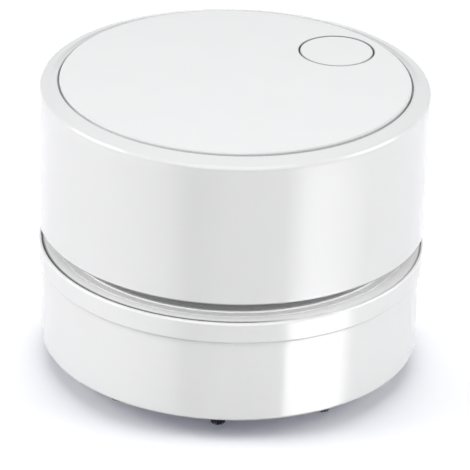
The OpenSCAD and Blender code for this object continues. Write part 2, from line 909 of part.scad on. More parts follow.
// Laminated core with three poles
module armature_core() {
    shoe_span = 96;
    color("gray") translate([0, 0, core_z]) linear_extrude(core_h) difference() {
        union() {
            circle(r = core_hub_r);
            round_around(pole_n) {
                translate([core_hub_r / 2, -pole_w / 2])
                    square([core_r - (shoe_t + core_hub_r) / 2, pole_w]);
                intersection() {
                    difference() {
                        circle(r = core_r);
                        circle(r = core_r - shoe_t);
                    }
                    polygon([[0, 0], polar(2 * core_r, -shoe_span / 2), polar(2 * core_r, shoe_span / 2)]);
                }
            }
        }
        circle(r = shaft_r + thread_gap);
    }
}

// Three windings, one round the neck of each pole
module armature_windings() {
    side_w = 1;
    end_h = 0.9;
    hole_half = pole_w / 2 + fit;
    half = hole_half + side_w;
    from_x = core_hub_r + 2 * fit;
    winding_l = sqrt(pow(core_r - shoe_t - fit, 2) - half * half) - from_x;
    color("chocolate") round_around(pole_n)
        translate([from_x, 0, core_z - end_h])
            difference() {
                translate([0, -half, 0]) cube([winding_l, 2 * half, core_h + 2 * end_h]);
                translate([-1, -hole_half, end_h - fit]) cube([winding_l + 2, 2 * hole_half, core_h + 2 * fit]);
            }
}

module commutator() {
    color("peru") ring(commutator_r, shaft_r + thread_gap, commutator_z, commutator_h);
}

// One fan blade seen from above, swept back from its root to its tip
function blade_outline(steps = 8) =
    let (
        half = function (r) blade_t / 2 / r * 180 / PI,
        radius = function (t) blade_in_r + (blade_out_r - blade_in_r) * t
    )
    concat(
        [for (i = [0:steps]) let (t = i / steps, r = radius(t)) polar(r, half(r) - blade_sweep * t)],
        [for (i = [steps:-1:0]) let (t = i / steps, r = radius(t)) polar(r, -half(r) - blade_sweep * t)]
    );

module impeller() {
    color("white") difference() {
        union() {
            translate([0, 0, impeller_top_z - impeller_plate_t])
                cylinder(r = impeller_r, h = impeller_plate_t);
            translate([0, 0, impeller_z]) cylinder(r = impeller_hub_r, h = impeller_top_z - impeller_z);
            round_around(blade_n)
                translate([0, 0, impeller_z])
                    linear_extrude(impeller_top_z - impeller_plate_t / 2 - impeller_z)
                        polygon(blade_outline());
        }
        translate([0, 0, impeller_z - 1])
            cylinder(r = shaft_r + thread_gap, h = impeller_top_z - impeller_z + 2);
    }
}

// ---- Battery ----

module battery_cell() {
    color("steelblue") translate([0, cell_y, cell_z]) rotate([0, 90, 0])
        union() {
            translate([0, 0, -cell_l / 2]) cylinder(r = cell_r, h = cell_l - cell_tip_h);
            translate([0, 0, cell_l / 2 - cell_tip_h - eps]) cylinder(r = cell_tip_r, h = cell_tip_h + eps);
        }
}

module battery_tabs() {
    color("silver") for (side = [-1, 1])
        translate([side > 0 ? cell_l / 2 : -cell_l / 2 - tab_t, cell_y, cell_z])
            rotate([0, 90, 0]) cylinder(r = side > 0 ? cell_tip_r - 2 * fit : tab_r, h = tab_t);
}

module battery_leads() {
    color("black") for (side = [-1, 1])
        swept_tube([for (p = battery_lead_route) [side * p.x, p.y, p.z]], lead_r, lead_sides);
}

// ---- Board, socket and switch ----

module control_board() {
    color("darkgreen") difference() {
        translate([0, 0, board_z]) linear_extrude(board_t) intersection() {
            circle(r = board_r);
            translate([-board_r, board_edge_y]) square([2 * board_r, board_r]);
        }
        for (at = board_posts)
            translate([at.x, at.y, board_z - 1]) cylinder(r = screw_hole_r, h = board_t + 2);
    }
}

// The parts soldered to the board, as [x, distance from the board's front edge]
module board_parts() {
    chip = [6, 5, 1.6];
    chip_at = [-15, 5.8];
    regulator = [3, 3, 1.1];
    regulators_at = [[-6.5, 10.3], [4, 10.3]];
    resistor = [3.2, 1.6, 0.8];
    resistor_x = battery_pad.x - 3.6;
    resistors_at = [[-resistor_x, 4.8], [-resistor_x, 7.8], [-10, 15.3]];
    capacitor_r = 2.5;
    capacitor_h = 5.4;
    capacitor_at = [11, 15.8];
    color([0.12, 0.12, 0.13]) {
        on_board(chip_at, chip);
        for (at = regulators_at) on_board(at, regulator);
        for (at = resistors_at) on_board(at, resistor);
        translate([capacitor_at.x, board_edge_y + capacitor_at.y, board_top_z])
            cylinder(r = capacitor_r, h = capacitor_h);
    }
}

module on_board(at, size) {
    translate([at.x - size.x / 2, board_edge_y + at.y - size.y / 2, board_top_z]) cube(size);
}

module board_screws() {
    color("silver") for (at = board_posts)
        translate([at.x, at.y, board_top_z]) mirror([0, 0, 1])
            difference() {
                screw(board_screw_l);
                cross_recess();
            }
}

// The socket's oval outline, inset by t
module port_outline(t = 0) {
    half = port_w / 2 - port_h / 2;
    for (side = [-1, 1]) translate([side * half, 0]) circle(r = port_h / 2 - t);
    square([2 * half, port_h - 2 * t], center = true);
}

module charging_port() {
    color("silver") translate([0, port_at_y, port_z]) rotate([90, 0, 0]) difference() {
        linear_extrude(port_l) port_outline();
        translate([0, 0, -eps]) linear_extrude(port_l - port_wall + eps) port_outline(port_wall);
    }
}

module port_tongue() {
    side_gap = 1.17;
    tongue_w = port_w - 2 * side_gap;
    tongue_t = 0.7;
    mouth_gap = 1;
    color([0.1, 0.1, 0.1])
        translate([-tongue_w / 2, port_at_y - port_l + port_wall, port_z - tongue_t / 2])
            cube([tongue_w, port_l - port_wall - mouth_gap, tongue_t]);
}

module switch_body() {
    color([0.13, 0.13, 0.14]) difference() {
        translate([button_at.x - switch_w / 2, button_at.y - switch_w / 2, board_top_z])
            cube([switch_w, switch_w, switch_h]);
        translate([button_at.x, button_at.y, switch_floor_z]) cylinder(r = plunger_r + fit, h = switch_h);
    }
}

module switch_plunger() {
    color("ivory") translate([button_at.x, button_at.y, 0]) difference() {
        translate([0, 0, plunger_z]) cylinder(r = plunger_r, h = plunger_top_z - plunger_z);
        translate([0, 0, plunger_z - 1])
            cylinder(r = plunger_in_r, h = plunger_top_z - plunger_roof - plunger_z + 1);
    }
}

module power_button() {
    color("white") translate([button_at.x, button_at.y, 0]) {
        turned([
            [0, button_flange_z, 0],
            [button_r + button_flange_w, button_flange_z, 0],
            [button_r + button_flange_w, button_flange_z + button_flange_t, 0],
            [button_r, button_flange_z + button_flange_t, 0],
            [button_r, top_z, 0.35],
            [0, top_z, 0]
        ]);
        translate([0, 0, plunger_top_z]) cylinder(r = stem_r, h = stem_h + eps);
    }
}

// The return spring: its curls follow one helix
function coil_point(turn) = [
    coil_r * cos(360 * turn), coil_r * sin(360 * turn), coil_z + coil_pitch * turn
];
coil_route = [for (i = [0:coil_n * coil_rings]) coil_point(i / coil_rings)];
coil_gap = min([
    for (i = [0:coil_n * coil_rings - coil_rings / 2])
        for (j = [i + coil_rings / 2:coil_n * coil_rings])
            norm(coil_route[i] - coil_route[j])
]) - 2 * coil_wire_r;
echo(least_gap_between_spring_curls = coil_gap);

module switch_spring() {
    color("silver") translate([button_at.x, button_at.y, 0])
        swept_tube(coil_route, coil_wire_r, coil_sides);
}

dust_box();
base_plate();
dust_guard();
brush_tuft_1();
brush_tuft_2();
brush_tuft_3();
brush_tuft_4();
brush_tuft_5();
brush_tuft_6();
brush_tuft_7();
brush_tuft_8();
brush_tuft_9();
filter_frame();
filter_pad();
filter_seal();
collar();
fan_housing();
exhaust_grille();
housing_screws();
chassis();
shell_screws();
upper_shell();
top_panel();
motor_can();
motor_end_cap();
motor_magnets();
motor_bushes();
motor_brushes();
motor_terminals();
motor_sleeve();
motor_leads();
battery_cell();
battery_tabs();
battery_leads();
control_board();
board_parts();
board_screws();
charging_port();
port_tongue();
switch_body();
power_button();
switch_plunger();
switch_spring();
impeller();
motor_shaft();
armature_core();
armature_windings();
commutator();
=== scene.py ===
import math
import random

import bpy
from mathutils import Matrix, Vector


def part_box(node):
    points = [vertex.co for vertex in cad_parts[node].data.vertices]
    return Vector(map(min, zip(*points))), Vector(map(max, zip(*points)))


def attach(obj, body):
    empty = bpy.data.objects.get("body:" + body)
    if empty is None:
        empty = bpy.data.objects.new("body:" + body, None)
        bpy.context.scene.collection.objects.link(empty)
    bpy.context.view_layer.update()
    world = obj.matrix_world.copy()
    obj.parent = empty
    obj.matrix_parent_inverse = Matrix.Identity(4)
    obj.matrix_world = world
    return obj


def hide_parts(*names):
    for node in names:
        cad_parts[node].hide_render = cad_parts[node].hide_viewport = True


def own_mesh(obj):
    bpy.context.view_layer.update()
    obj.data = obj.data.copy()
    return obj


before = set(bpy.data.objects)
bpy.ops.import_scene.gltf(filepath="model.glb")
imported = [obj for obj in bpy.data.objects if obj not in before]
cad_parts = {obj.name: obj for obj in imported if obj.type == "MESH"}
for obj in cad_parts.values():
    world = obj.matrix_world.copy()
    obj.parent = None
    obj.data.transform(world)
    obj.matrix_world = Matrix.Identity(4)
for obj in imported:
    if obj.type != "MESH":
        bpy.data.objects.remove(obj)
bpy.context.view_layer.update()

mm = 0.001
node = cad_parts


# ---- Studio ----
# A pale table top under soft lights, one on each side, one in front, one for the table alone and a
# weak one for the ledge in the gap. Light cards on the table draw the upright bands on the glossy
# walls. The camera looks down through a long lens, rolled a little, so the right side sits lower.

scene = bpy.context.scene
scene.view_settings.view_transform = "Standard"

image_px = 470
focal_px = 3709
aim_px = (231.48, 224.02)
aim = Vector((0, 0, 30.4 * mm))
distance = 808.3 * mm
nearest = 10 * mm
elevation = math.radians(26.1)
roll = math.radians(1.68)
sensor_mm = 36

bpy.ops.object.select_all(action="DESELECT")
bpy.ops.object.camera_add()
camera = bpy.context.object
camera.name = "camera"
camera.data.sensor_width = sensor_mm
camera.data.lens = focal_px * sensor_mm / image_px
camera.data.shift_x = (image_px / 2 - aim_px[0]) / image_px
camera.data.shift_y = (aim_px[1] - image_px / 2) / image_px
camera.data.clip_start = nearest
towards = Vector((0, -math.cos(elevation), math.sin(elevation)))
camera.matrix_world = (
    Matrix.Translation(aim + towards * distance)
    @ Matrix.Rotation(math.pi / 2 - elevation, 4, "X")
    @ Matrix.Rotation(roll, 4, "Z")
)
scene.camera = camera


class Signal:
    """One value in a material's nodes, so that shader maths reads as plain sums."""

    def __init__(self, tree, socket):
        self.tree = tree
        self.socket = socket

    def maths(self, operation, *values):
        return add_node(self.tree, "ShaderNodeMath", {"operation": operation}, dict(enumerate(values)))

    def __add__(self, other):
        return self.maths("ADD", self, other)

    def __sub__(self, other):
        return self.maths("SUBTRACT", self, other)

    def __rsub__(self, other):
        return self.maths("SUBTRACT", other, self)

    def __mul__(self, other):
        return self.maths("MULTIPLY", self, other)

    def __truediv__(self, other):
        return self.maths("DIVIDE", self, other)

    def __gt__(self, other):
        return self.maths("GREATER_THAN", self, other)

    def __lt__(self, other):
        return self.maths("LESS_THAN", self, other)

    def __abs__(self):
        return self.maths("ABSOLUTE", self)

    __radd__ = __add__
    __rmul__ = __mul__

    def at_least(self, other):
        return self.maths("MAXIMUM", self, other)

    def at_most(self, other):
        return self.maths("MINIMUM", self, other)

    def clamped(self):
        """The value, kept from 0 to 1."""
        return self.at_least(0).at_most(1)

    def root(self):
        return self.maths("SQRT", self)

    def fraction(self):
        """What is left of the value past its whole number."""
        return self.maths("FRACT", self)


def add_node(tree, kind, settings=None, inputs=None, output=0):
    """Adds a node, its settings first, then the value or link of each input given."""
    new = tree.nodes.new(kind)
    for name, value in (settings or {}).items():
        setattr(new, name, value)
    for name, value in (inputs or {}).items():
        if isinstance(value, Signal):
            tree.links.new(value.socket, new.inputs[name])
        else:
            new.inputs[name].default_value = value
    return Signal(tree, new.outputs[output])


def blended(tree, factor, first, second):
    """A colour between two, by factor."""
    colours = {0: factor, 6: (*first, 1), 7: (*second, 1)}
    return add_node(tree, "ShaderNodeMix", {"data_type": "RGBA"}, colours, output=2)


def shown_directly(tree):
    """1 for the rays that show a surface itself or its mirror image, 0 for the light it scatters."""
    seen = add_node(tree, "ShaderNodeLightPath", output="Is Camera Ray")
    rays = seen.socket.node.outputs
    return (seen + Signal(tree, rays["Is Glossy Ray"]) + Signal(tree, rays["Is Transmission Ray"])).at_most(1)


floor_w = 6000 * mm
bpy.ops.mesh.primitive_plane_add(size=floor_w)
floor = bpy.context.object
floor.name = "floor"
table_top = bpy.data.materials.new("pale_table")
table_top.use_nodes = True
tree = table_top.node_tree
tree.nodes.remove(tree.nodes["Principled BSDF"])
matt = add_node(tree, "ShaderNodeBsdfDiffuse", None, {"Color": (0.46, 0.46, 0.46, 1)})
white = add_node(tree, "ShaderNodeBsdfDiffuse", None, {"Color": (1, 1, 1, 1)})
lift = add_node(tree, "ShaderNodeEmission", None, {"Color": (0.72, 0.74, 1, 1), "Strength": 0.14})
lifted = add_node(tree, "ShaderNodeAddShader", None, {0: white, 1: lift})
table = add_node(tree, "ShaderNodeMixShader", None, {0: shown_directly(tree), 1: matt, 2: lifted})
tree.links.new(table.socket, tree.nodes["Material Output"].inputs["Surface"])
floor.data.materials.append(table_top)

world = bpy.data.worlds.new("pale_sky")
world.use_nodes = True
scene.world = world
tree = world.node_tree
sky_level = 0.12
sky = shown_directly(tree) * (1 - sky_level) + sky_level
tree.links.new(sky.socket, tree.nodes["Background"].inputs["Strength"])
tree.nodes["Background"].inputs["Color"].default_value = (0.97, 0.985, 1, 1)


def soft_light(name, azimuth, height, spread, level, linked=None, state="INCLUDE"):
    """A distant soft light. Azimuth 0 is the front and 90 the right, spread is its width, all in
    degrees, and at level 1 a white surface that faces it renders white. With an object linked, it
    lights that alone, or in the state EXCLUDE all but that."""
    turn, rise = math.radians(azimuth), math.radians(height)
    source = Vector((math.sin(turn) * math.cos(rise), -math.cos(turn) * math.cos(rise), math.sin(rise)))
    bpy.ops.object.light_add(type="SUN", location=source)
    lamp = bpy.context.object
    lamp.name = name
    lamp.data.angle = math.radians(spread)
    lamp.data.energy = level * math.pi
    lamp.rotation_euler = source.to_track_quat("Z", "Y").to_euler()
    if linked:
        lit = bpy.data.collections.new(f"{name}_linked")
        lit.objects.link(linked)
        lit.collection_objects[0].light_linking.link_state = state
        lamp.light_linking.receiver_collection = lit


soft_light("light_left", azimuth=-90, height=28, spread=40, level=0.62)
soft_light("light_right", azimuth=90, height=27, spread=40, level=0.56)
soft_light("light_front", azimuth=0, height=38, spread=70, level=0.57, linked=floor, state="EXCLUDE")
soft_light("light_table", azimuth=180, height=72, spread=50, level=0.52, linked=floor)
soft_light("light_gap", azimuth=0, height=25, spread=50, level=0.3, linked=node["fan_housing"])

wall_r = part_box("upper_shell")[1].x
wall_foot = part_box("dust_box")[0].z
gap_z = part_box("upper_shell")[0].z
wall_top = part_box("upper_shell")[1].z
card_z = 1 * mm


def mirrored(turn, height):
    """The place on a card that the wall mirrors to the camera, at an azimuth and a height of it."""
    outwards = Vector((math.sin(turn), -math.cos(turn), 0))
    spot = outwards * wall_r + Vector((0, 0, height))
    sight = (spot - aim - towards * distance).reflect(outwards)
    return spot + sight * ((card_z - height) / sight.z)


def light_card(name, left, right, low, high, brightness, fade_left, fade_right):
    """A card on the table that the glossy wall mirrors as an upright band, between two azimuths and
    two heights of the wall. It is white at its ends and reaches its brightness inside, where 1 is
    white. A fade is the share of the width over which it changes."""
    bpy.ops.mesh.primitive_grid_add(x_subdivisions=16, y_subdivisions=2, size=1, location=(0, 0, 0))
    card = bpy.context.object
    card.name = name
    for point in card.data.vertices:
        turn = math.radians(left + (right - left) * (point.co.x + 0.5))
        point.co = mirrored(turn, low + (high - low) * (point.co.y + 0.5))
    glow = bpy.data.materials.new(name)
    glow.use_nodes = True
    tree = glow.node_tree
    tree.nodes.remove(tree.nodes["Principled BSDF"])
    unwrapped = add_node(tree, "ShaderNodeTexCoord", output="UV")
    across = add_node(tree, "ShaderNodeSeparateXYZ", None, {0: unwrapped})
    inside = (across / fade_left).at_most(1) * ((1 - across) / fade_right).at_most(1)
    # The colour carries the fade, and the strength only lifts it where it is brighter than white.
    strength = max(brightness, 1)
    colour = blended(tree, inside, [1 / strength] * 3, [brightness / strength] * 3)
    emission = add_node(tree, "ShaderNodeEmission", None, {"Color": colour, "Strength": strength})
    tree.links.new(emission.socket, tree.nodes["Material Output"].inputs["Surface"])
    card.data.materials.append(glow)
    card.visible_camera = card.visible_diffuse = card.visible_transmission = card.visible_shadow = False


light_card("card_dark", -17, -2, wall_foot, wall_top, brightness=0.1, fade_left=0.3, fade_right=0.6)
light_card("card_right_low", 16, 40, wall_foot, gap_z, brightness=7, fade_left=0.1, fade_right=0.3)
light_card("card_right_high", 15, 43, gap_z, wall_top, brightness=4.2, fade_left=0.25, fade_right=0.6)


# ---- Dust box ----
# A drum of glossy white ABS, injection moulded, with three lugs that lock it under the collar. The
# mould leaves its skin very slightly wavy, and the white drifts by a hair from place to place.


class Finish:
    """A material on the Principled shader. Constants go on its sockets, patterns come as Signals."""

    def __init__(self, name, colour, roughness, **sockets):
        self.material = bpy.data.materials.new(name)
        self.material.use_nodes = True
        self.tree = self.material.node_tree
        self.shader = self.tree.nodes["Principled BSDF"]
        self.set("Base Color", (*colour, 1))
        self.set("Roughness", roughness)
        for socket, value in sockets.items():
            self.set(socket.replace("_", " ").title().replace("Ior", "IOR"), value)

    def set(self, socket, value):
        if isinstance(value, Signal):
            self.tree.links.new(value.socket, self.shader.inputs[socket])
        else:
            self.shader.inputs[socket].default_value = value

    def node(self, kind, settings=None, inputs=None, output=0):
        return add_node(self.tree, kind, settings, inputs, output)

    def place(self):
        """Object coordinates, in metres."""
        return self.node("ShaderNodeTexCoord", output="Object")

    def axes(self):
        """The three Object coordinates, in metres."""
        split = self.node("ShaderNodeSeparateXYZ", None, {0: self.place()})
        return [Signal(self.tree, output) for output in split.socket.node.outputs]

    def noise(self, size, detail=2, roughness=0.5, place=None):
        """Grey noise whose grains are about size metres wide."""
        return self.node(
            "ShaderNodeTexNoise",
            None,
            {"Vector": place or self.place(), "Scale": 1 / size, "Detail": detail, "Roughness": roughness},
        )

    def stretched(self, x, y, z):
        """Object coordinates scaled along each axis, which draws a pattern out where the scale is low."""
        return self.node("ShaderNodeMapping", None, {"Vector": self.place(), "Scale": (x, y, z)})

    def blend(self, factor, first, second):
        """A colour between two, by factor."""
        return blended(self.tree, factor, first, second)

    def near_circle(self, radius, width, centre=(0, 0)):
        """1 on a circle round an upright axis, falling to 0 over the width to either side."""
        x, y, _ = self.axes()
        x, y = x - centre[0], y - centre[1]
        apart = abs((x * x + y * y).root() - radius)
        return (1 - apart / width).at_least(0)

    def stripes(self, along, pitch):
        """0 along the middle of each stripe and 1 at its edges, with stripes a pitch apart."""
        return abs((along / pitch).fraction() - 0.5) * 2

    def bare_metal(self, where, colour, roughness):
        """Shows bare metal instead of the finish where the mask is 1."""
        metal = self.node(
            "ShaderNodeBsdfPrincipled",
            None,
            {"Base Color": (*colour, 1), "Metallic": 1, "Roughness": roughness},
        )
        finish = Signal(self.tree, self.shader.outputs[0])
        mixed = self.node("ShaderNodeMixShader", None, {0: where, 1: finish, 2: metal})
        self.tree.links.new(mixed.socket, self.tree.nodes["Material Output"].inputs["Surface"])

    def bump(self, height, depth):
        """Raises the surface by height times depth, in metres."""
        self.set("Normal", self.node("ShaderNodeBump", None, {"Height": height, "Distance": depth}))

    def paint(self, *pieces):
        for piece in pieces:
            piece.data.materials.clear()
            piece.data.materials.append(self.material)

    def cover(self, *names):
        """Gives the finish to named nodes of the frame, in their material slots."""
        for name in names:
            for slot in node[name].material_slots:
                slot.material = self.material


def gloss_white(name):
    """Glossy white ABS, with the tone that its Base Color drifts by."""
    finish = Finish(name, (0.8, 0.8, 0.805), 0.1)
    wipe_marks = finish.noise(2.5 * mm)
    finish.set("Roughness", wipe_marks * 0.06 + 0.07)
    waves = finish.noise(5 * mm)
    finish.bump(waves, 0.003 * mm)
    drift = finish.noise(14 * mm)
    return finish, drift * 0.03


tone_and_shade_grey = (0.1, 0.1, 0.1)
wall_white, tone = gloss_white("gloss_white_abs")
# Its white is painted a shade lighter than the upper shell's copy of the same ABS, as painted light on the
# lower walls; the drift towards grey is the white's own tone.
wall_white.set("Base Color", wall_white.blend(tone, (0.84, 0.84, 0.845), tone_and_shade_grey))
wall_white.cover("dust_box")


# ---- Base plate and dust guard ----
# The floor of the dust box, with the suction inlet and a hat over it that keeps the dust in. Both
# are white ABS straight from a plain mould, welded in, with a fine matt skin.

plain_white = Finish("plain_white_abs", (0.8, 0.8, 0.79), 0.5)
grain = plain_white.noise(0.5 * mm, detail=3)
plain_white.set("Roughness", grain * 0.2 + 0.4)
plain_white.bump(grain, 0.012 * mm)
plain_white.cover("base_plate", "dust_guard")


# ---- Brush tufts ----
# Bundles of black nylon filaments, folded and stapled into sockets in the floor. They fan out a
# little on their way down, and their tips are cut level, because the cleaner stands on them.

nylon = Finish("black_nylon", (0.02, 0.02, 0.022), 0.35)
fibre = nylon.noise(1.2 * mm, place=nylon.stretched(4, 4, 1))
nylon.set("Base Color", nylon.blend(fibre, (0.008, 0.008, 0.009), (0.032, 0.032, 0.034)))
nylon.set("Roughness", fibre * 0.2 + 0.26)

tuft_n = 9
filament_n = 72
filament_r = 0.1 * mm
filament_sides = 5
filament_rings = 4
fold_depth = 0.5 * mm
tip_spread = 0.15 * mm
root_share = 0.86
fanning = 1.6
golden_angle = math.radians(137.5)
sharp_angle = math.radians(50)
foot_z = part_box("base_plate")[0].z
low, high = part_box("brush_tuft_1")
bundle_r = (high.x - low.x) / 2 - filament_r
plug_inset = 0.1 * mm
plug_r = bundle_r - plug_inset
plug_h = high.z - foot_z
plug_sides = 24
plug_bevel = 0.2 * mm

bpy.ops.object.select_all(action="DESELECT")
bpy.ops.mesh.primitive_cylinder_add(
    vertices=plug_sides, radius=plug_r, depth=plug_h, location=(0, 0, foot_z + plug_h / 2)
)
tuft = bpy.context.object
bpy.ops.object.mode_set(mode="EDIT")
bpy.ops.mesh.select_all(action="SELECT")
bpy.ops.mesh.bevel(offset=plug_bevel, segments=2)
draw = random.Random(7)
for i in range(filament_n):
    share = math.sqrt((i + 0.5) / filament_n)
    turn = i * golden_angle
    outwards = Vector((math.cos(turn), math.sin(turn), 0))
    stray = Vector((draw.uniform(-1, 1), draw.uniform(-1, 1), 0)) * tip_spread * (1 - share)
    root = outwards * share * plug_r * root_share + Vector((0, 0, foot_z + fold_depth))
    tip = outwards * share * bundle_r + stray
    bpy.ops.mesh.select_all(action="DESELECT")
    bpy.ops.mesh.primitive_circle_add(
        vertices=filament_sides, radius=filament_r, fill_type="NGON", location=root
    )
    reached = root
    for ring in range(1, filament_rings + 1):
        down = ring / filament_rings
        sideways = down ** fanning
        target = Vector((
            root.x + (tip.x - root.x) * sideways,
            root.y + (tip.y - root.y) * sideways,
            root.z * (1 - down),
        ))
        bpy.ops.mesh.extrude_region_move(TRANSFORM_OT_translate={"value": target - reached})
        reached = target
bpy.ops.mesh.select_all(action="SELECT")
bpy.ops.mesh.normals_make_consistent(inside=False)
bpy.ops.object.mode_set(mode="OBJECT")
bpy.ops.object.shade_smooth_by_angle(angle=sharp_angle)

for i in range(1, tuft_n + 1):
    low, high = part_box(f"brush_tuft_{i}")
    piece = tuft.copy()
    piece.data = tuft.data.copy()
    piece.name = f"bristles_{i}"
    scene.collection.objects.link(piece)
    piece.data.transform(Matrix.Rotation(i * golden_angle, 4, "Z"))
    piece.data.transform(Matrix.Translation(((low.x + high.x) / 2, (low.y + high.y) / 2, 0)))
    nylon.paint(piece)
    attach(piece, "dust_box")
    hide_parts(f"brush_tuft_{i}")
bpy.data.objects.remove(tuft)


# ---- Filter ----
# A basket of grey polypropylene hangs on a step inside the dust box and lifts out by its knob. It
# holds a washer of white felt, cut from the roll, and a soft rubber ring seals it to the housing.

grey_pp = Finish("grey_polypropylene", (0.55, 0.56, 0.58), 0.42)
grey_pp.bump(grey_pp.noise(0.6 * mm), 0.01 * mm)
grey_pp.cover("filter_frame")

rubber = Finish("soft_black_rubber", (0.05, 0.05, 0.055), 0.6)
rubber.set("Roughness", rubber.noise(1.5 * mm) * 0.25 + 0.5)
rubber.bump(rubber.noise(0.3 * mm), 0.01 * mm)
rubber.cover("filter_seal")

felt = Finish("white_felt", (0.78, 0.78, 0.76), 0.95, sheen_weight=0.4, sheen_roughness=0.5)
fibres = felt.noise(0.4 * mm, detail=5, roughness=0.7)
clumps = felt.noise(3 * mm, detail=3)
felt.set("Base Color", felt.blend(fibres * 0.6 + clumps * 0.4, (0.6, 0.6, 0.58), (0.9, 0.9, 0.88)))
felt.bump(fibres, 0.15 * mm)

low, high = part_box("filter_pad")
hub_r = 2.3 * mm
hub_gap = 0.3 * mm
swell = 0.12 * mm
pad_t = high.z - low.z
pad_top = high.z - swell
outer_r = high.x - 2 * swell
inner_r = hub_r + hub_gap
pad_sides = 96
pad_rings = 12
pad_edge = 0.5 * mm
lump_w = 2.5 * mm

bpy.ops.object.select_all(action="DESELECT")
bpy.ops.mesh.primitive_circle_add(
    vertices=pad_sides, radius=outer_r, fill_type="NOTHING", location=(0, 0, pad_top)
)
pad = bpy.context.object
pad.name = "felt_pad"
bpy.ops.object.mode_set(mode="EDIT")
bpy.ops.mesh.select_all(action="SELECT")
reached = outer_r
for ring in range(1, pad_rings + 1):
    target = outer_r - (outer_r - inner_r) * ring / pad_rings
    bpy.ops.mesh.extrude_edges_move()
    bpy.ops.transform.resize(
        value=(target / reached, target / reached, 1), center_override=(0, 0, pad_top)
    )
    reached = target
bpy.ops.mesh.select_all(action="SELECT")
bpy.ops.mesh.normals_make_consistent(inside=False)
bpy.ops.object.mode_set(mode="OBJECT")
bpy.ops.object.transform_apply(location=True, rotation=True, scale=True)
if pad.data.polygons[0].normal.z < 0:
    pad.data.flip_normals()

wall = pad.modifiers.new("thickness", "SOLIDIFY")
wall.thickness = pad_t - 2 * swell
wall.offset = -1
edge = pad.modifiers.new("soft_edge", "BEVEL")
edge.width = pad_edge
edge.segments = 3
edge.angle_limit = sharp_angle
rounder = pad.modifiers.new("rounder", "SUBSURF")
rounder.levels = rounder.render_levels = 1
lumps = bpy.data.textures.new("felt_lumps", "CLOUDS")
lumps.noise_scale = lump_w
lofted = pad.modifiers.new("loft", "DISPLACE")
lofted.texture = lumps
lofted.texture_coords = "LOCAL"
lofted.strength = swell
lofted.mid_level = 0.5
for modifier in ("thickness", "soft_edge", "rounder", "loft"):
    bpy.ops.object.modifier_apply(modifier=modifier)
bpy.ops.object.shade_smooth()
felt.paint(pad)
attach(pad, "dust_box")
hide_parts("filter_pad")


# ---- Collar ----
# The white band under the exhaust gap. It is moulded in the same glossy ABS as the dust box, and a
# ledge inside it takes the three lugs.

# Its white, shared with the dust box, is painted a shade lighter than the upper shell's, as painted light.
wall_white.cover("collar")


# ---- Fan housing, grille and their screws ----
# The white ledge under the gap, with the eye under the fan, and the grey slotted ring that is the
# neck in the gap. Both are moulded ABS, pulled up against the chassis by four zinc-plated screws.
# The ledge's white is raised above the other whites as painted light, and painted shade darkens
# the seam round it, least at the right, and the ledge beside the neck.

# The ledge's 0.94 white is raised above the other whites as painted light in the gap's shade.
ledge_white = Finish("ledge_white_abs", (0.94, 0.94, 0.94), 0.4)
ledge_white.set("Roughness", ledge_white.noise(0.35 * mm, detail=3) * 0.12 + 0.34)
ledge_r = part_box("fan_housing")[1].x
neck_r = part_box("exhaust_grille")[1].x
seam_painted_shade_w = 0.5 * mm
neck_painted_shade_w = 1.1 * mm
shaded_to_x = 5 * mm
shade_fade_w = 14 * mm
least_seam_shade = 0.3
# Painted shade: the seam round the ledge, fading to the right, and the ledge beside the neck.
to_right = (ledge_white.axes()[0] - shaded_to_x).at_least(0) / shade_fade_w
seam_painted_shade = ledge_white.near_circle(ledge_r, seam_painted_shade_w) * (1 - to_right).at_least(least_seam_shade)
neck_painted_shade = ledge_white.near_circle(neck_r, neck_painted_shade_w) * 0.5
ledge_white.set(
    "Base Color", ledge_white.blend(seam_painted_shade + neck_painted_shade, (0.94, 0.94, 0.94), (0.02, 0.02, 0.02))
)
ledge_white.cover("fan_housing")

grille_grey = Finish("grille_grey_abs", (0.4, 0.4, 0.41), 0.45)
neck_foot = 28 * mm
neck_fade = 1.2 * mm
# Painted shade: the neck darkens towards its top, under the upper shell.
painted_shade_up_neck = ((grille_grey.axes()[2] - neck_foot) / neck_fade).clamped()
grille_grey.set("Base Color", grille_grey.blend(painted_shade_up_neck, (0.4, 0.4, 0.41), (0.15, 0.15, 0.155)))
grille_grey.set("Roughness", grille_grey.noise(0.5 * mm) * 0.15 + 0.36)
grille_grey.bump(grille_grey.noise(0.4 * mm, detail=3), 0.01 * mm)
grille_grey.cover("exhaust_grille")

zinc = Finish("zinc_plated_steel", (0.6, 0.6, 0.62), 0.32, metallic=1)
zinc_tone = zinc.noise(0.9 * mm, detail=3)
zinc.set("Base Color", zinc.blend(zinc_tone, (0.5, 0.5, 0.52), (0.7, 0.7, 0.71)))
zinc.set("Roughness", zinc_tone * 0.2 + 0.22)
zinc.cover("housing_screws")


# ---- Chassis and shell screws ----
# The plate that carries motor, cell and board on its cup, saddles and posts, in plain white ABS.
# Three screws from below hold the upper shell on it.

plain_white.cover("chassis")
zinc.cover("shell_screws")


# ---- Motor ----
# A small direct-current motor: a drawn steel can with two flats, a moulded nylon cap, two ferrite
# magnets, bronze bushes, and sprung bronze arms on the commutator. A rubber sleeve holds it.

steel = Finish("drawn_steel", (0.6, 0.6, 0.62), 0.3, metallic=1)
drawn = steel.noise(0.5 * mm, detail=3, place=steel.stretched(1, 1, 0.06))
steel.set("Base Color", steel.blend(drawn, (0.52, 0.52, 0.54), (0.68, 0.68, 0.7)))
steel.set("Roughness", drawn * 0.16 + 0.2)
steel.cover("motor_can", "motor_shaft")

ivory = Finish("ivory_nylon", (0.8, 0.78, 0.72), 0.45)
ivory.bump(ivory.noise(0.5 * mm), 0.01 * mm)
ivory.cover("motor_end_cap")

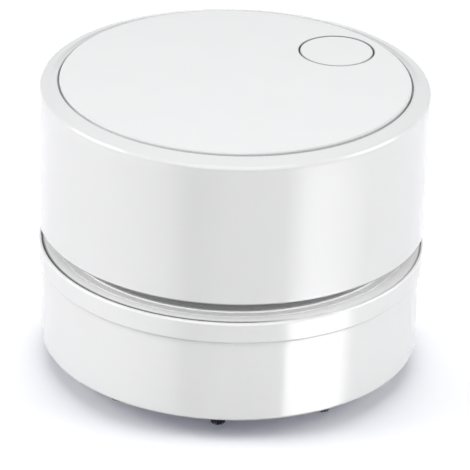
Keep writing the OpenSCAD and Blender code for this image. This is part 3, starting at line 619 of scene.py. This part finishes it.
ferrite = Finish("sintered_ferrite", (0.07, 0.07, 0.08), 0.55)
specks = ferrite.noise(0.25 * mm, detail=4)
ferrite.set("Base Color", ferrite.blend(specks, (0.04, 0.04, 0.045), (0.12, 0.12, 0.13)))
ferrite.bump(specks, 0.03 * mm)
ferrite.cover("motor_magnets")

bronze = Finish("bronze_strip", (0.65, 0.45, 0.22), 0.35, metallic=1)
tarnish = bronze.noise(0.8 * mm, detail=3)
bronze.set("Base Color", bronze.blend(tarnish, (0.5, 0.33, 0.16), (0.76, 0.56, 0.3)))
bronze.set("Roughness", tarnish * 0.25 + 0.25)
bronze.cover("motor_bushes", "motor_brushes", "motor_terminals")

rubber.cover("motor_sleeve")

red_pvc = Finish("red_lead_insulation", (0.5, 0.03, 0.03), 0.4)
red_pvc.bump(red_pvc.noise(0.4 * mm), 0.01 * mm)
red_pvc.cover("motor_leads")


# ---- Rotor and fan ----
# A core of stacked steel sheets with three poles, each wound with enamelled copper wire, and a
# copper commutator. A fan of plain white ABS is pressed on the lower end of the shaft.

core = Finish("stacked_steel_sheets", (0.4, 0.4, 0.42), 0.45, metallic=1)
sheet_t = 0.5 * mm
sheet_edge = core.stripes(core.axes()[2], sheet_t)
core.set("Base Color", core.blend(sheet_edge, (0.42, 0.42, 0.44), (0.2, 0.2, 0.21)))
core.bump(sheet_edge, -0.04 * mm)
core.cover("armature_core")

copper = Finish("enamelled_copper", (0.72, 0.35, 0.18), 0.3, metallic=1)
copper.set("Base Color", copper.blend(copper.noise(1.5 * mm), (0.62, 0.27, 0.13), (0.8, 0.42, 0.22)))
copper.cover("commutator")

wound = Finish("wound_copper_wire", (0.72, 0.35, 0.18), 0.3, metallic=1)
wire_pitch = 0.28 * mm
pole_n = 3
x, y, _ = wound.axes()
pole_turns = [2 * math.pi * pole / pole_n for pole in range(pole_n)]
along_poles = [x * math.cos(turn) + y * math.sin(turn) for turn in pole_turns]
along_nearest = along_poles[0].at_least(along_poles[1]).at_least(along_poles[2])
between = wound.stripes(along_nearest, wire_pitch)
# The grooves between turns are painted darker as shade.
wound.set("Base Color", wound.blend(between * between, (0.78, 0.4, 0.2), (0.3, 0.11, 0.05)))
wound.bump(1 - between * between, 0.09 * mm)
wound.cover("armature_windings")

plain_white.cover("impeller")


# ---- Battery cell ----
# One rechargeable cell in a blue shrink sleeve. The sleeve's ends draw in over the rims and leave
# the steel end faces bare, where the welded tabs sit. Two black leads run up to the board.

cell = Finish("blue_shrink_sleeve", (0.08, 0.25, 0.5), 0.28)
low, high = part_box("battery_cell")
bare_w = 1.3 * mm
creases = cell.noise(2 * mm, detail=3, place=cell.stretched(0.3, 1, 1))
cell.set("Base Color", cell.blend(creases, (0.06, 0.2, 0.42), (0.1, 0.3, 0.58)))
cell.set("Roughness", creases * 0.2 + 0.2)
cell.bump(creases, 0.05 * mm)
from_middle = abs(cell.axes()[0] - (low.x + high.x) / 2)
cell.bare_metal(from_middle > (high.x - low.x) / 2 - bare_w, (0.62, 0.62, 0.64), 0.25)
cell.cover("battery_cell")
zinc.cover("battery_tabs")

black_pvc = Finish("black_lead_insulation", (0.03, 0.03, 0.03), 0.4)
black_pvc.bump(black_pvc.noise(0.4 * mm), 0.01 * mm)
black_pvc.cover("battery_leads")


# ---- Control board ----
# A board of glass epoxy under green lacquer, held by three screws. The lacquer is a little thicker
# over the copper tracks. The soldered parts are black epoxy on tinned feet, one an aluminium can.

lacquer = Finish("green_board_lacquer", (0.02, 0.18, 0.07), 0.28)
track_field = 7 * mm
track_pitch = 0.77 * mm
track_edge = 0.45
edge_steepness = 6
fields = lacquer.node(
    "ShaderNodeTexVoronoi",
    {"distance": "CHEBYCHEV"},
    {"Vector": lacquer.place(), "Scale": 1 / track_field, "Randomness": 0.8},
)
track = ((lacquer.stripes(fields, track_pitch / track_field) - track_edge) * edge_steepness).clamped()
lacquer.set("Base Color", lacquer.blend(track, (0.016, 0.16, 0.06), (0.05, 0.3, 0.12)))
lacquer.bump(track, 0.03 * mm)
lacquer.cover("control_board")
zinc.cover("board_screws")

soldered = Finish("black_epoxy_on_tinned_feet", (0.03, 0.03, 0.032), 0.5)
soldered.bump(soldered.noise(0.2 * mm, detail=3), 0.012 * mm)
low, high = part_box("board_parts")
foot_h = 0.35 * mm
foot_pitch = 1 * mm
foot_gap_share = 0.5
can_w = 5.1 * mm
x, _, z = soldered.axes()
feet = (soldered.stripes(x, foot_pitch) > foot_gap_share) * (z < low.z + foot_h)
can = (x > high.x - can_w) * (z > low.z + 2 * foot_h)
soldered.bare_metal(feet.at_least(can), (0.7, 0.7, 0.72), 0.3)
soldered.cover("board_parts")


# ---- Charging socket ----
# A drawn steel shell soldered to the board's rear edge, behind the slot in the upper shell. Its
# tongue is black moulding with rows of gold-plated contacts.

steel.cover("charging_port")

tongue = Finish("black_moulding_with_contacts", (0.03, 0.03, 0.032), 0.45)
low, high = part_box("port_tongue")
contact_pitch = 0.5 * mm
contact_gap_share = 0.45
contact_end = 0.5 * mm
face_skin = 0.02 * mm
x, y, z = tongue.axes()
on_face = abs(z - (low.z + high.z) / 2) > (high.z - low.z) / 2 - face_skin
off_rim = (y < high.y - contact_end) * (abs(x) < high.x - contact_end)
contacts = (tongue.stripes(x, contact_pitch) > contact_gap_share) * on_face * off_rim
tongue.bare_metal(contacts, (0.85, 0.62, 0.25), 0.25)
tongue.cover("port_tongue")


# ---- Push switch ----
# A small black box on the board, with a sprung plunger moulded in plain white ABS. The spring is
# wound from zinc-plated steel wire; the real one shortens as the plunger goes down, this one keeps one
# length.

epoxy = Finish("black_epoxy", (0.03, 0.03, 0.032), 0.5)
epoxy.bump(epoxy.noise(0.2 * mm, detail=3), 0.012 * mm)
epoxy.cover("switch_body")
plain_white.cover("switch_plunger")

low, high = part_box("switch_spring")
spring_wire_r = 0.15 * mm
spring_wire_sides = 10
spring_r = 0.95 * mm
curl_n = 6
curl_steps = 24
merge_gap = 0.001 * mm
spring_h = high.z - low.z
spring_foot = Vector(((low.x + high.x) / 2, (low.y + high.y) / 2, low.z))

bpy.ops.object.select_all(action="DESELECT")
bpy.ops.mesh.primitive_circle_add(
    vertices=spring_wire_sides,
    radius=spring_wire_r,
    fill_type="NOTHING",
    location=(spring_r, 0, spring_wire_r),
    rotation=(math.pi / 2, 0, 0),
)
spring = bpy.context.object
spring.name = "return_spring"
bpy.ops.object.transform_apply(location=True, rotation=True, scale=True)
winder = spring.modifiers.new("winder", "SCREW")
winder.iterations = curl_n
winder.screw_offset = (spring_h - 2 * spring_wire_r) / curl_n
winder.steps = winder.render_steps = curl_steps
bpy.ops.object.modifier_apply(modifier="winder")
bpy.ops.object.mode_set(mode="EDIT")
bpy.ops.mesh.select_all(action="SELECT")
bpy.ops.mesh.remove_doubles(threshold=merge_gap)
bpy.ops.mesh.fill_holes(sides=0)
bpy.ops.mesh.select_all(action="SELECT")
bpy.ops.mesh.normals_make_consistent(inside=False)
bpy.ops.object.mode_set(mode="OBJECT")
bpy.ops.object.shade_smooth_by_angle(angle=sharp_angle)
spring.data.transform(Matrix.Translation(spring_foot))
zinc.paint(spring)
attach(spring, "motor_unit")
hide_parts("switch_spring")
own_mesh(spring)


# ---- Upper shell ----
# The tall outer wall with the sloping ring round the top, moulded in the glossy white ABS. Painted
# shade darkens the ring a little, the groove inside it more, and the lower edge over the exhaust gap.

shell_white, tone = gloss_white("shell_white_abs")
half_groove = 0.2 * mm
groove_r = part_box("top_panel")[1].x + half_groove
groove_painted_shade_w = 1 * mm
left_share = 0.4


def groove_painted_shade(finish):
    """How dark the painted shade makes a place in the groove, most at the front right, none from the sides
    back.
    """
    x, y, _ = finish.axes()
    near = finish.near_circle(groove_r, groove_painted_shade_w)
    front = (y * -1).at_least(0) / groove_r
    right = x.at_least(0) / groove_r
    return near * near * front * (right * (1 - left_share) + left_share)


ring_z = wall_top - 2 * mm
ring_fade = 0.7 * mm
rear_painted_shade_r = groove_r + 1 * mm
rear_painted_shade_w = 1.2 * mm
edge_painted_shade_top = gap_z + 0.55 * mm
edge_fade = 0.35 * mm
edge_painted_shade_w = 0.8 * mm
ring_shade_level = 0.06
rear_shade_level = 0.6
edge_shade_level = 0.9
_, y, z = shell_white.axes()
on_ring = ((z - ring_z) / ring_fade).clamped()
rear_painted_shade = (shell_white.near_circle(rear_painted_shade_r, rear_painted_shade_w) * (y / groove_r)).at_least(0)
edge_painted_shade = ((edge_painted_shade_top - z) / edge_fade).clamped() * shell_white.near_circle(wall_r, edge_painted_shade_w)
# Painted shade: the ring a little darker, the groove inside it darker at the front right and the back, and a
# dark line along the lower edge; tone is the white's own drift.
ring_painted_shade = groove_painted_shade(shell_white) + rear_painted_shade * rear_shade_level + ring_shade_level
shade = tone + on_ring * ring_painted_shade + edge_painted_shade * edge_shade_level
shell_white.set("Base Color", shell_white.blend(shade, (0.815, 0.815, 0.82), tone_and_shade_grey))
shell_white.cover("upper_shell")


# ---- Top panel and button ----
# A round panel clipped into the ring, and the push button flush in it. Both are white ABS from a
# finely spark-eroded mould, so they are satin. Painted shade darkens their edges and the panel's back.

satin_white = Finish("satin_white_abs", (0.84, 0.84, 0.845), 0.4, specular_ior_level=0.25)
grain = satin_white.noise(0.35 * mm, detail=3)
low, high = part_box("power_button")
button_centre = ((low.x + high.x) / 2, (low.y + high.y) / 2)
button_edge_r = 8.1 * mm
button_painted_shade_w = 0.4 * mm
button_painted_shade = satin_white.near_circle(button_edge_r, button_painted_shade_w, button_centre)
# Painted shade: the panel darker towards the back, and its edge at the groove and the gap round the button
# dark; the 9 mm noise is the panel's own tone.
to_rear = satin_white.axes()[1] / groove_r + 1
shade = satin_white.noise(9 * mm) * 0.03 + to_rear * 0.04 + groove_painted_shade(satin_white) + button_painted_shade
satin_white.set("Base Color", satin_white.blend(shade, (0.885, 0.885, 0.89), (0.05, 0.05, 0.05)))
satin_white.set("Roughness", grain * 0.12 + 0.32)
satin_white.bump(grain, 0.01 * mm)
satin_white.cover("top_panel", "power_button")
